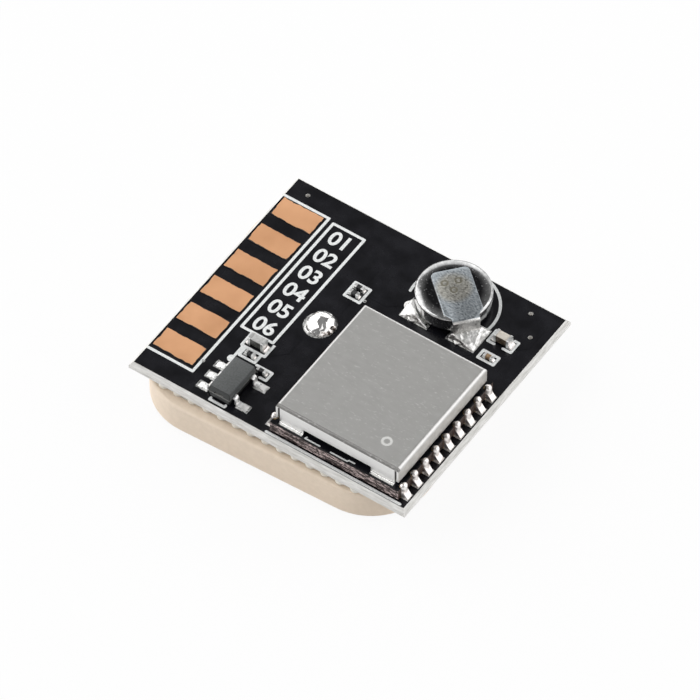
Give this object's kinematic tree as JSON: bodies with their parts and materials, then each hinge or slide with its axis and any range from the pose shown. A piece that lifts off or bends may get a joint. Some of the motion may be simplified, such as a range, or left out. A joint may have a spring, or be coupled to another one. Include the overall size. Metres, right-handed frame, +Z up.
{
  "type": "gps module",
  "caption": "Satellite positioning module: carrier board with edge pads, shielded castellated receiver, backup cell, regulator and a ceramic patch antenna taped underneath.",
  "frame": {"origin": "on the surface that the module rests on, under the centre of the carrier board", "axes": "+Z up from the antenna to the shield can, +X from the edge pads to the receiver, +Y to the cell"},
  "size_m": [0.0211, 0.0193, 0.006],
  "materials": {
    "board_mask": "semi-gloss solder mask over glass laminate",
    "pad_gold": "satin gold over copper",
    "tinned_copper": "bright tin",
    "tape": "matt",
    "antenna_block": "matt fired ceramic",
    "silver_film": "fired silver, satin",
    "pin_metal": "tinned",
    "solder": "bright solder",
    "receiver_laminate": "routed laminate edge",
    "gold_plating": "gold plating",
    "can_sheet": "matt nickel silver",
    "moulding": "moulded epoxy",
    "package_ceramic": "fired ceramic",
    "lid_metal": "plated lid",
    "tan_ceramic": "fired ceramic",
    "chip_tin": "tin plated",
    "cell_steel": "polished stainless steel",
    "gasket": "matt",
    "tab_steel": "rolled stainless steel",
    "regulator_moulding": "moulded epoxy",
    "lead_tin": "tin plated",
    "grey_ceramic": "fired ceramic",
    "beige_ceramic": "fired ceramic",
    "resistor_film": "glazed film"
  },
  "bodies": {
    "root": {"carrier_board": "board_mask", "edge_pads": "pad_gold", "solder_lands": "tinned_copper", "shield_land": "tinned_copper", "receiver_terminals": "tinned_copper", "adhesive_tape": "tape", "antenna_ceramic": "antenna_block", "antenna_ground": "silver_film", "antenna_patch": "silver_film", "feed_pin": "pin_metal", "feed_solder": "solder", "castellation_solder": "solder", "shield_solder": "solder", "cell_solder": "solder", "regulator_solder": "solder", "chip_solder": "solder", "receiver_board": "receiver_laminate", "castellation_plating": "gold_plating", "shield_can": "can_sheet", "receiver_chip": "moulding", "signal_amplifier": "moulding", "oscillator_base": "package_ceramic", "crystal_base": "package_ceramic", "signal_filter": "package_ceramic", "oscillator_lid": "lid_metal", "crystal_lid": "lid_metal", "row_capacitors": "tan_ceramic", "bypass_capacitor": "tan_ceramic", "row_capacitor_ends": "chip_tin", "input_capacitor_ends": "chip_tin", "backup_capacitor_ends": "chip_tin", "bypass_capacitor_ends": "chip_tin", "chip_resistor_ends": "chip_tin", "cell_can": "cell_steel", "cell_cap": "cell_steel", "cell_gasket": "gasket", "cell_upper_tab": "tab_steel", "cell_lower_tab": "tab_steel", "regulator_body": "regulator_moulding", "regulator_leads": "lead_tin", "input_capacitor": "grey_ceramic", "backup_capacitor": "beige_ceramic", "chip_resistors": "resistor_film"}
  },
  "joints": []
}
